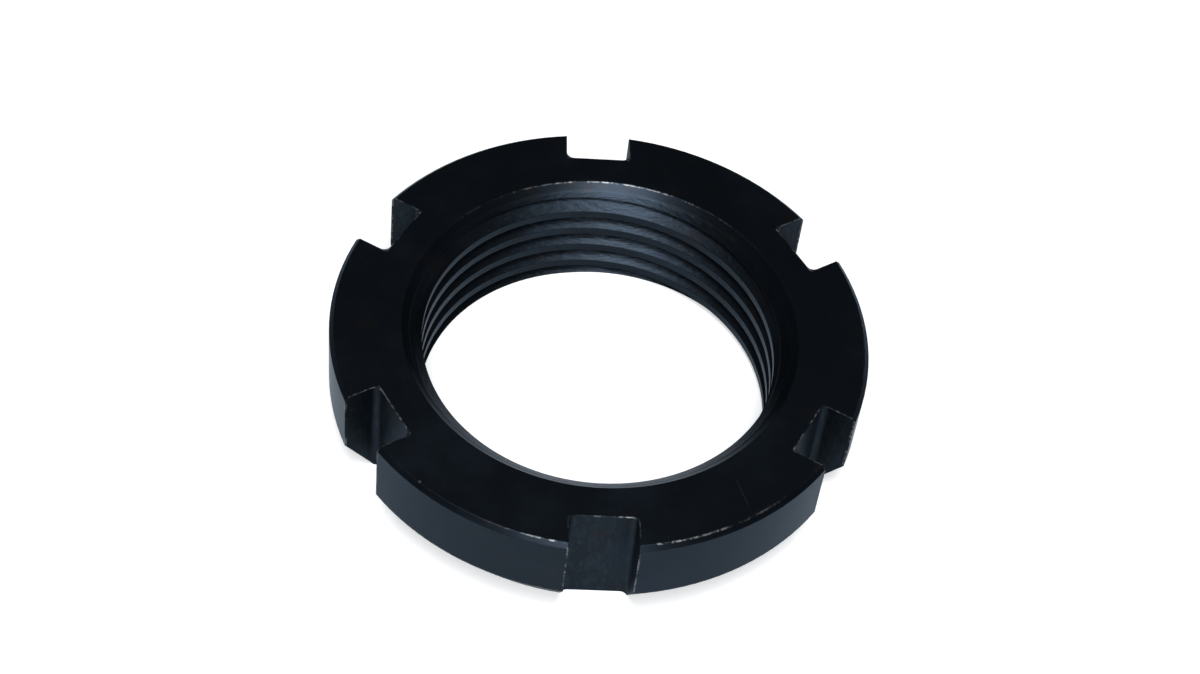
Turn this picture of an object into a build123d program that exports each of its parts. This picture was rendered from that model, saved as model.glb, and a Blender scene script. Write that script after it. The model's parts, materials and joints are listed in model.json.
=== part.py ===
"""Slotted round nut: a turned steel ring with hook-spanner slots and a coarse right-hand thread.

The nut stands on its chamfered base, with its axis on Z and the base plane at Z = 0.
All sizes are in millimetres, and all angles in degrees.
"""
import os
from math import ceil, radians, tan

from build123d import *

# ---- Driving sizes ----
# thread
THREAD_MINOR_DIAMETER = 56.0
THREAD_PITCH = 4.0
THREAD_CREST_FLAT = 1.39
THREAD_ROOT_FLAT = 0.3
THREAD_ANGLE = 60.0
THREAD_START_ANGLE = -32.0
LEAD_IN_CHAMFER = 3.3
EXIT_EDGE_BREAK = 0.4
# blank
RING_WALL = 14.5
HEIGHT = 19.5
BASE_CHAMFER_RADIAL = 5.0
BASE_CHAMFER_HEIGHT = 7.8
RIM_CHAMFER = 0.7
# spanner slots
SLOT_COUNT = 6
SLOT_WIDTH = 10.5
SLOT_DEPTH = 6.0
SLOT_CORNER_RADIUS = 1.2
SLOT_START_ANGLE = -90.0
# how far each cutting tool runs on past the surface that it cuts
OVERRUN = 0.5

# ---- Sizes worked out from them ----
minor_radius = THREAD_MINOR_DIAMETER / 2
outer_radius = minor_radius + RING_WALL
flank_slope = tan(radians(THREAD_ANGLE / 2))
root_half_width = THREAD_ROOT_FLAT / 2
crest_half_width = (THREAD_PITCH - THREAD_CREST_FLAT) / 2
groove_depth = (crest_half_width - root_half_width) / flank_slope
mouth_half_width = crest_half_width + OVERRUN * flank_slope
# the thread starts one turn below the nut and ends at least one turn above it
thread_turns = ceil(HEIGHT / THREAD_PITCH) + 2

with BuildPart() as slotted_nut:
    # turned ring
    with BuildSketch(Plane.XZ) as ring_section:
        with BuildLine():
            Polyline(
                (minor_radius + EXIT_EDGE_BREAK, 0),
                (outer_radius - BASE_CHAMFER_RADIAL, 0),
                (outer_radius, BASE_CHAMFER_HEIGHT),
                (outer_radius, HEIGHT - RIM_CHAMFER),
                (outer_radius - RIM_CHAMFER, HEIGHT),
                (minor_radius + LEAD_IN_CHAMFER, HEIGHT),
                (minor_radius, HEIGHT - LEAD_IN_CHAMFER),
                (minor_radius, EXIT_EDGE_BREAK),
                close=True,
            )
        make_face()
    revolve(axis=Axis.Z)

    # milled slots, each cut by a rounded rectangle that runs out through the rim
    cutter_length = SLOT_DEPTH + SLOT_CORNER_RADIUS + OVERRUN
    cutter_middle = outer_radius - SLOT_DEPTH + cutter_length / 2
    with BuildSketch(Plane.XY) as slot_plan:
        with PolarLocations(cutter_middle, SLOT_COUNT, start_angle=SLOT_START_ANGLE):
            RectangleRounded(cutter_length, SLOT_WIDTH, SLOT_CORNER_RADIUS)
    extrude(amount=HEIGHT, mode=Mode.SUBTRACT)

    # thread, cut turn by turn with a single-point tool
    for turn in range(thread_turns):
        turn_plane = Plane.XY.offset((turn - 1) * THREAD_PITCH).rotated((0, 0, THREAD_START_ANGLE))
        with BuildLine(turn_plane) as turn_path:
            Helix(pitch=THREAD_PITCH, height=THREAD_PITCH, radius=minor_radius)
        tool_plane = Plane(
            origin=turn_path.line @ 0, x_dir=turn_plane.x_dir, z_dir=turn_path.line % 0
        )
        with BuildSketch(tool_plane) as tool_section:
            with BuildLine():
                Polyline(
                    (-OVERRUN, -mouth_half_width),
                    (groove_depth, -root_half_width),
                    (groove_depth, root_half_width),
                    (-OVERRUN, mouth_half_width),
                    close=True,
                )
            make_face()
        sweep(path=turn_path.line, is_frenet=True, mode=Mode.SUBTRACT)

slotted_nut.part.label = "slotted_nut"

os.makedirs("parts", exist_ok=True)
export_step(slotted_nut.part, "parts/slotted_nut.step")
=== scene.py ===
"""Slotted round nut in blackened steel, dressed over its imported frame.

All lengths are in metres. The nut stands on the floor at Z = 0 with its thread axis on Z.
"""
import json
from math import cos, pi, radians, sin

import bpy
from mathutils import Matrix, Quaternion, Vector


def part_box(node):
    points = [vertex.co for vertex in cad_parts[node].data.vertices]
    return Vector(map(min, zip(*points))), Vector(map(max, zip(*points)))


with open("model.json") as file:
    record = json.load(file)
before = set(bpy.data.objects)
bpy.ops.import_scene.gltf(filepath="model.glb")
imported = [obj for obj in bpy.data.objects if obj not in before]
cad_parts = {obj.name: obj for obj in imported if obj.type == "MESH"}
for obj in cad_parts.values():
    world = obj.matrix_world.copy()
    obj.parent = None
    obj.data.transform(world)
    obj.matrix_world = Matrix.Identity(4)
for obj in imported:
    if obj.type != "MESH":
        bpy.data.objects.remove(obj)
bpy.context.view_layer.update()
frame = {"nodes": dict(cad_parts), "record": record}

MM = 0.001

# ---- The frame: places below are worked out from these ----
NUT_LOW, NUT_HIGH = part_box("slotted_nut")
RADIUS = NUT_HIGH[0]
HEIGHT = NUT_HIGH[2]
THREAD = next(mount for mount in frame["record"]["mounts"] if mount["name"] == "thread")
SLOTS = next(mount for mount in frame["record"]["mounts"] if mount["name"] == "spanner_slots")
BORE_RADIUS = THREAD["dims"]["r_mm"] * MM
SLOT_FLOOR = abs(SLOTS["pos_m"][1])
SLOT_STEP = 2 * pi / SLOTS["dims"]["count"]

# ---- Sizes that the nut is cut to ----
SLOT_WIDTH = 10.5 * MM
RIM_CHAMFER = 0.7 * MM
LEAD_IN_CHAMFER = 3.3 * MM
THREAD_DEPTH = 2.1 * MM
BASE_CHAMFER_RADIAL = 5.0 * MM
BASE_CHAMFER_HEIGHT = 7.8 * MM

# ---- Edges of the nut that the finish follows ----
SLOT_HALF_WIDTH = SLOT_WIDTH / 2
RIM_EDGE_RADIUS = RADIUS - RIM_CHAMFER
LEAD_IN_RADIUS = BORE_RADIUS + LEAD_IN_CHAMFER
THREAD_ROOT_RADIUS = BORE_RADIUS + THREAD_DEPTH
SHOULDER_HEIGHT = BASE_CHAMFER_HEIGHT
FOOT_RADIUS = RADIUS - BASE_CHAMFER_RADIAL

# ---- Finish ----
OXIDE_DARK = (0.0150, 0.0205, 0.0280, 1.0)
OXIDE_BLUE = (0.0185, 0.0265, 0.0375, 1.0)
OXIDE_BROWN = (0.0260, 0.0220, 0.0210, 1.0)
OXIDE_MILLED = (0.0260, 0.0390, 0.0500, 1.0)
# painted shade: a near-black colour for the underside cone, standing in for the shadow under the
# overhang and the shadowed floor it faces
UNDERSIDE_PAINTED_SHADE = (0.0040, 0.0050, 0.0065, 1.0)
EDGE_TINT = (0.68, 0.74, 0.80, 1.0)
BARE_STEEL = (0.62, 0.66, 0.70, 1.0)
EDGE_ROUNDING = 0.22 * MM

# ---- Wear: how far each edge is rubbed back to bare steel, from 0 to 1 ----
RIM_WEAR = 0.60
SLOT_FLOOR_WEAR = 0.40
SLOT_WALL_WEAR = 0.22
SLOT_CORNER_WEAR = 0.30
LEAD_IN_WEAR = 0.30
SHOULDER_WEAR = 0.14

# ---- Marks on the top face: places and sizes in millimetres, strengths from 0 to 1 ----
SCRATCH_START = (19.8, -28.2)
SCRATCH_END = (21.8, -33.9)
SCRATCH_WIDTH = 0.14
SCRATCH_STRENGTH = 0.035
NICK_CENTRE = (-27.3, -31.5)
NICK_SIZE = 0.32
NICK_STRENGTH = 0.35
PATCH_CENTRE = (-8.7, -36.6)
PATCH_SIZE = 5.0
PATCH_STRENGTH = 0.25

# ---- Camera ----
CAMERA_LENS_MM = 72.4
CAMERA_DISTANCE = 8.92 * RADIUS
CAMERA_AZIMUTH = -96.43
CAMERA_ELEVATION = 49.73
CAMERA_ROLL = 7.52
AIM_BELOW = 0.0377 * RADIUS
AIM_LEFT = 0.0041 * RADIUS

# ---- Stage ----
FLOOR_SIZE = 60 * RADIUS
FLOOR_COLOR = (0.80, 0.82, 0.84, 1.0)
FLOOR_LIFT = 0.40
SURROUND_LEVEL = 0.14


# ---- Node helpers ----
def feed(tree, value, socket):
    """Joins a socket's output to an input, or sets the input to a plain value."""
    if isinstance(value, bpy.types.NodeSocket):
        tree.links.new(value, socket)
    else:
        socket.default_value = value


def calc(tree, operation, *values):
    """A Math node's result."""
    node = tree.nodes.new("ShaderNodeMath")
    node.operation = operation
    for value, socket in zip(values, node.inputs):
        feed(tree, value, socket)
    return node.outputs["Value"]


def ramp(tree, value, low, high):
    """Rises smoothly from 0 at low to 1 at high; falls instead where low is above high."""
    node = tree.nodes.new("ShaderNodeMapRange")
    node.interpolation_type = "SMOOTHSTEP"
    feed(tree, value, node.inputs["Value"])
    falls = low > high
    node.inputs["From Min"].default_value = min(low, high)
    node.inputs["From Max"].default_value = max(low, high)
    node.inputs["To Min"].default_value = 1.0 if falls else 0.0
    node.inputs["To Max"].default_value = 0.0 if falls else 1.0
    return node.outputs["Result"]


def product(tree, *values):
    """All the values multiplied together."""
    result = values[0]
    for value in values[1:]:
        result = calc(tree, "MULTIPLY", result, value)
    return result


def greatest(tree, *values):
    """The greatest of the values."""
    result = values[0]
    for value in values[1:]:
        result = calc(tree, "MAXIMUM", result, value)
    return result


def hypot(tree, a, b):
    """The length of a right triangle's long side."""
    squares = calc(tree, "ADD", calc(tree, "MULTIPLY", a, a), calc(tree, "MULTIPLY", b, b))
    return calc(tree, "SQRT", squares)


def vector(tree, x, y, z):
    """A vector made of three values."""
    node = tree.nodes.new("ShaderNodeCombineXYZ")
    for value, socket in zip((x, y, z), node.inputs):
        feed(tree, value, socket)
    return node.outputs["Vector"]


def noise(tree, place, scale, detail=3.0, roughness=0.55):
    """A noise pattern, from 0 to 1, with scale features a metre."""
    node = tree.nodes.new("ShaderNodeTexNoise")
    feed(tree, place, node.inputs["Vector"])
    node.inputs["Scale"].default_value = scale
    node.inputs["Detail"].default_value = detail
    node.inputs["Roughness"].default_value = roughness
    return node.outputs["Fac"]


def blend(tree, amount, under, over):
    """One colour over another, by an amount from 0 to 1."""
    node = tree.nodes.new("ShaderNodeMix")
    node.data_type = "RGBA"
    # a Mix node's colours are its inputs 6 and 7, and output 2
    feed(tree, amount, node.inputs["Factor"])
    feed(tree, under, node.inputs[6])
    feed(tree, over, node.inputs[7])
    return node.outputs[2]


def bump(tree, height, depth, strength, normal):
    """A surface relief laid over another normal."""
    node = tree.nodes.new("ShaderNodeBump")
    node.inputs["Strength"].default_value = strength
    node.inputs["Distance"].default_value = depth
    feed(tree, height, node.inputs["Height"])
    feed(tree, normal, node.inputs["Normal"])
    return node.outputs["Normal"]


def new_material(name):
    """A node material and its Principled shader."""
    material = bpy.data.materials.new(name)
    material.use_nodes = True
    return material, material.node_tree, material.node_tree.nodes["Principled BSDF"]


# ---- The nut's finish ----
class NutPlaces:
    """Where a point lies on the nut, as node sockets."""

    def __init__(self, tree):
        texture = tree.nodes.new("ShaderNodeTexCoord")
        self.point = texture.outputs["Object"]
        split = tree.nodes.new("ShaderNodeSeparateXYZ")
        tree.links.new(self.point, split.inputs["Vector"])
        self.x, self.y, self.z = split.outputs
        self.radius = hypot(tree, self.x, self.y)
        self.angle = calc(tree, "ARCTAN2", self.y, self.x)
        # each point is turned to the nearest slot: along runs out through the slot,
        # and across lies over its width
        from_slot = calc(tree, "ADD", self.angle, pi / 2)
        turned = calc(tree, "WRAP", from_slot, SLOT_STEP / 2, -SLOT_STEP / 2)
        self.along = calc(tree, "MULTIPLY", self.radius, calc(tree, "COSINE", turned))
        across = calc(tree, "MULTIPLY", self.radius, calc(tree, "SINE", turned))
        self.across = calc(tree, "ABSOLUTE", across)
        self.below_top = calc(tree, "SUBTRACT", HEIGHT, self.z)
        self.on_top = ramp(tree, self.below_top, 0.05 * MM, 0.02 * MM)

    def from_side(self, tree, degrees, reach):
        """1 on the side that faces an angle, down to 0 reach degrees away from it."""
        away = calc(tree, "SUBTRACT", self.angle, radians(degrees))
        folded = calc(tree, "ABSOLUTE", calc(tree, "WRAP", away, pi, -pi))
        return ramp(tree, folded, radians(reach), 0.0)


def edge_line(tree, first, second, width):
    """1 on an edge, given a point's distances to its two faces, down to 0 at the width."""
    return ramp(tree, hypot(tree, first, second), width, width / 4)


def worn_edges(tree, places):
    """Where handling has rubbed the oxide off the edges."""
    broken = ramp(tree, noise(tree, places.point, 420.0, 4.0), 0.42, 0.60)
    fine = ramp(tree, noise(tree, places.point, 1500.0, 2.0), 0.35, 0.60)
    to_rim = calc(tree, "SUBTRACT", places.radius, RIM_EDGE_RADIUS)
    rim = edge_line(tree, to_rim, places.below_top, 0.26 * MM)
    rim_side = greatest(
        tree,
        places.from_side(tree, -78.0, 42.0),
        calc(tree, "MULTIPLY", places.from_side(tree, 20.0, 120.0), 0.10),
    )
    to_floor = calc(tree, "SUBTRACT", places.along, SLOT_FLOOR)
    in_slot = ramp(tree, places.across, SLOT_HALF_WIDTH, SLOT_HALF_WIDTH - 0.3 * MM)
    floor_edge = product(tree, edge_line(tree, to_floor, places.below_top, 0.25 * MM), in_slot)
    to_wall = calc(tree, "SUBTRACT", places.across, SLOT_HALF_WIDTH)
    beyond_floor = ramp(tree, places.along, SLOT_FLOOR, SLOT_FLOOR + 0.5 * MM)
    wall_edge = product(tree, edge_line(tree, to_wall, places.below_top, 0.22 * MM), beyond_floor)
    to_outside = calc(tree, "SUBTRACT", places.radius, RADIUS - 0.1 * MM)
    corner_edge = edge_line(tree, to_wall, to_outside, 0.35 * MM)
    to_lead_in = calc(tree, "SUBTRACT", places.radius, LEAD_IN_RADIUS)
    lead_in = edge_line(tree, to_lead_in, places.below_top, 0.25 * MM)
    lead_in_side = places.from_side(tree, 88.0, 60.0)
    to_shoulder = calc(tree, "SUBTRACT", places.z, SHOULDER_HEIGHT)
    to_cylinder = calc(tree, "SUBTRACT", places.radius, RADIUS)
    shoulder = edge_line(tree, to_shoulder, to_cylinder, 0.30 * MM)
    return greatest(
        tree,
        product(tree, rim, rim_side, broken, fine, RIM_WEAR),
        product(tree, floor_edge, broken, fine, SLOT_FLOOR_WEAR),
        product(tree, wall_edge, broken, fine, SLOT_WALL_WEAR),
        product(tree, corner_edge, broken, fine, SLOT_CORNER_WEAR),
        product(tree, lead_in, lead_in_side, broken, fine, LEAD_IN_WEAR),
        product(tree, shoulder, fine, SHOULDER_WEAR),
    )


def scratch(tree, places, start, end, width_mm):
    """A fine straight scratch on the top face between two points, given in millimetres."""
    width = width_mm * MM
    run = Vector((end[0] - start[0], end[1] - start[1])) * MM
    unit = run.normalized()
    from_start_x = calc(tree, "SUBTRACT", places.x, start[0] * MM)
    from_start_y = calc(tree, "SUBTRACT", places.y, start[1] * MM)
    ahead = calc(
        tree, "ADD",
        calc(tree, "MULTIPLY", from_start_x, unit.x),
        calc(tree, "MULTIPLY", from_start_y, unit.y),
    )
    aside = calc(
        tree, "SUBTRACT",
        calc(tree, "MULTIPLY", from_start_x, unit.y),
        calc(tree, "MULTIPLY", from_start_y, unit.x),
    )
    line = ramp(tree, calc(tree, "ABSOLUTE", aside), width, width / 4)
    within = product(
        tree,
        ramp(tree, ahead, 0.0, run.length / 5),
        ramp(tree, ahead, run.length, run.length * 4 / 5),
    )
    return product(tree, line, within, places.on_top)


def spot(tree, places, centre, size):
    """A soft round patch on the top face, given in millimetres."""
    away_x = calc(tree, "SUBTRACT", places.x, centre[0] * MM)
    away_y = calc(tree, "SUBTRACT", places.y, centre[1] * MM)
    round_patch = ramp(tree, hypot(tree, away_x, away_y), size * MM, 0.0)
    return product(tree, round_patch, places.on_top)


def round_axis(tree, places, stretch):
    """A place whose noise is drawn out round the nut's axis, as marks of turning are."""
    return vector(tree, calc(tree, "MULTIPLY", places.angle, stretch), places.radius, places.z)


def make_blackened_steel():
    """Black oxide over turned and milled steel: dark, satin, faintly blue, rubbed at the edges."""
    material, tree, shader = new_material("blackened_steel")
    places = NutPlaces(tree)

    # regions
    in_thread = product(
        tree,
        ramp(tree, places.radius, THREAD_ROOT_RADIUS + 0.4 * MM, THREAD_ROOT_RADIUS),
        ramp(tree, places.below_top, 0.8 * MM, 1.4 * MM),
    )
    in_slot = product(
        tree,
        ramp(tree, places.across, SLOT_HALF_WIDTH + 0.06 * MM, SLOT_HALF_WIDTH + 0.02 * MM),
        ramp(tree, places.along, SLOT_FLOOR - 0.06 * MM, SLOT_FLOOR - 0.02 * MM),
    )
    cone_slope = (RADIUS - FOOT_RADIUS) / SHOULDER_HEIGHT
    cone_radius = calc(tree, "MULTIPLY_ADD", places.z, cone_slope, FOOT_RADIUS)
    inside_cone = calc(tree, "SUBTRACT", cone_radius, places.radius)
    # painted shade mask: the underside cone below the shoulder, where the shade under the overhang
    # is painted into the colour
    underside_shade = product(
        tree,
        ramp(tree, inside_cone, 0.12 * MM, 0.06 * MM),
        ramp(tree, places.z, SHOULDER_HEIGHT, SHOULDER_HEIGHT - 0.25 * MM),
        0.85,
    )

    # patterns
    patches = noise(tree, places.point, 75.0, 4.0)
    smudges = noise(tree, places.point, 210.0, 3.0)
    grain = noise(tree, places.point, 2600.0, 2.0)
    turning = noise(tree, round_axis(tree, places, 0.010), 3200.0, 2.0)
    tearing = noise(tree, round_axis(tree, places, 0.012), 1500.0, 4.0, 0.65)
    down_slot = vector(tree, places.x, places.y, calc(tree, "MULTIPLY", places.z, 0.35))
    milling = noise(tree, down_slot, 1300.0, 4.0, 0.7)

    # colour
    blue = ramp(tree, patches, 0.45, 0.68)
    brown = calc(tree, "MULTIPLY", ramp(tree, smudges, 0.56, 0.74), 0.45)
    oxide = blend(tree, blue, OXIDE_DARK, OXIDE_BLUE)
    oxide = blend(tree, brown, oxide, OXIDE_BROWN)
    streaks = product(tree, in_slot, ramp(tree, milling, 0.45, 0.70), 0.75)
    oxide = blend(tree, streaks, oxide, OXIDE_MILLED)
    patch = product(tree, spot(tree, places, PATCH_CENTRE, PATCH_SIZE), PATCH_STRENGTH)
    oxide = blend(tree, patch, oxide, OXIDE_MILLED)
    # painted shade: the underside cone is darkened to nearly black here, in place of the shadow it
    # sits in
    oxide = blend(tree, underside_shade, oxide, UNDERSIDE_PAINTED_SHADE)
    line = scratch(tree, places, SCRATCH_START, SCRATCH_END, SCRATCH_WIDTH)
    nick = spot(tree, places, NICK_CENTRE, NICK_SIZE)
    wear = greatest(
        tree,
        worn_edges(tree, places),
        product(tree, line, SCRATCH_STRENGTH),
        product(tree, nick, NICK_STRENGTH),
    )
    feed(tree, blend(tree, wear, oxide, BARE_STEEL), shader.inputs["Base Color"])

    # gloss
    base_roughness = calc(tree, "MULTIPLY_ADD", patches, 0.14, 0.24)
    fine_roughness = calc(tree, "MULTIPLY_ADD", turning, 0.10, base_roughness)
    worked = calc(tree, "MULTIPLY_ADD", in_slot, 0.14, fine_roughness)
    feed(tree, worked, shader.inputs["Roughness"])
    shader.inputs["Metallic"].default_value = 1.0
    shader.inputs["Specular Tint"].default_value = EDGE_TINT

    # relief
    rounding = tree.nodes.new("ShaderNodeBevel")
    rounding.samples = 4
    rounding.inputs["Radius"].default_value = EDGE_ROUNDING
    relief = bump(tree, grain, 0.02 * MM, 0.25, rounding.outputs["Normal"])
    relief = bump(tree, turning, 0.02 * MM, 0.20, relief)
    relief = bump(tree, product(tree, tearing, in_thread), 0.15 * MM, 0.7, relief)
    relief = bump(tree, product(tree, milling, in_slot), 0.08 * MM, 0.5, relief)
    feed(tree, relief, shader.inputs["Normal"])
    return material


def dress_nut():
    """Gives the nut its blackened finish."""
    nut = frame["nodes"]["slotted_nut"]
    steel = make_blackened_steel()
    for material_slot in nut.material_slots:
        material_slot.material = steel


# ---- Stage, light and camera ----
def outward(azimuth, elevation):
    """The unit vector from the nut in a direction given in degrees."""
    turn, rise = radians(azimuth), radians(elevation)
    return Vector((cos(rise) * cos(turn), cos(rise) * sin(turn), sin(rise)))


def clear_selection():
    """Leaves nothing selected, so that an operator acts only on what it makes."""
    bpy.ops.object.select_all(action="DESELECT")


def make_floor():
    """A wide pale floor that shows white to the camera and keeps the nut's shadow."""
    clear_selection()
    bpy.ops.mesh.primitive_plane_add(size=FLOOR_SIZE)
    floor = bpy.context.object
    floor.name = "floor"
    material, tree, shader = new_material("pale_floor")
    shader.inputs["Base Color"].default_value = FLOOR_COLOR
    shader.inputs["Roughness"].default_value = 0.9
    shader.inputs["Specular IOR Level"].default_value = 0.0
    shader.inputs["Emission Color"].default_value = (1.0, 1.0, 1.0, 1.0)
    rays = tree.nodes.new("ShaderNodeLightPath")
    lift = calc(tree, "MULTIPLY", rays.outputs["Is Camera Ray"], FLOOR_LIFT)
    feed(tree, lift, shader.inputs["Emission Strength"])
    floor.data.materials.append(material)


def make_soft_box(name, azimuth, elevation, distance, size, energy):
    """A square lamp that faces the nut from a direction given in degrees."""
    direction = outward(azimuth, elevation)
    clear_selection()
    bpy.ops.object.light_add(
        type="AREA", location=direction * distance,
        rotation=direction.to_track_quat("Z", "Y").to_euler(),
    )
    lamp = bpy.context.object
    lamp.name = name
    lamp.data.size = size
    lamp.data.energy = energy


def make_surround():
    """A dim even surround that is white to the camera."""
    world = bpy.data.worlds.new("surround")
    bpy.context.scene.world = world
    world.use_nodes = True
    tree = world.node_tree
    background = tree.nodes["Background"]
    background.inputs["Color"].default_value = (1.0, 1.0, 1.0, 1.0)
    rays = tree.nodes.new("ShaderNodeLightPath")
    level = calc(tree, "MAXIMUM", rays.outputs["Is Camera Ray"], SURROUND_LEVEL)
    feed(tree, level, background.inputs["Strength"])


def make_camera():
    """The camera looks down at the nut from the front, rolled a little to one side."""
    back = outward(CAMERA_AZIMUTH, CAMERA_ELEVATION)
    top_centre = Vector((0, 0, HEIGHT))
    place = top_centre + CAMERA_DISTANCE * back
    roll = Quaternion((0, 0, 1), radians(CAMERA_ROLL))
    aim = top_centre + back.to_track_quat("Z", "Y") @ roll @ Vector((-AIM_LEFT, -AIM_BELOW, 0))
    view = (place - aim).to_track_quat("Z", "Y") @ roll
    clear_selection()
    bpy.ops.object.camera_add(location=place, rotation=view.to_euler())
    camera = bpy.context.object
    camera.name = "camera"
    camera.data.lens = CAMERA_LENS_MM
    camera.data.clip_start = 0.01
    bpy.context.scene.camera = camera


bpy.context.scene.view_settings.view_transform = "Standard"
dress_nut()
make_floor()
make_soft_box("front_box", azimuth=-95.0, elevation=46.0, distance=0.9, size=0.34, energy=4.2)
make_soft_box("upper_box", azimuth=-96.0, elevation=68.0, distance=0.9, size=0.30, energy=4.4)
make_soft_box("overhead_box", azimuth=-90.0, elevation=88.0, distance=1.2, size=0.8, energy=3.0)
make_surround()
make_camera()
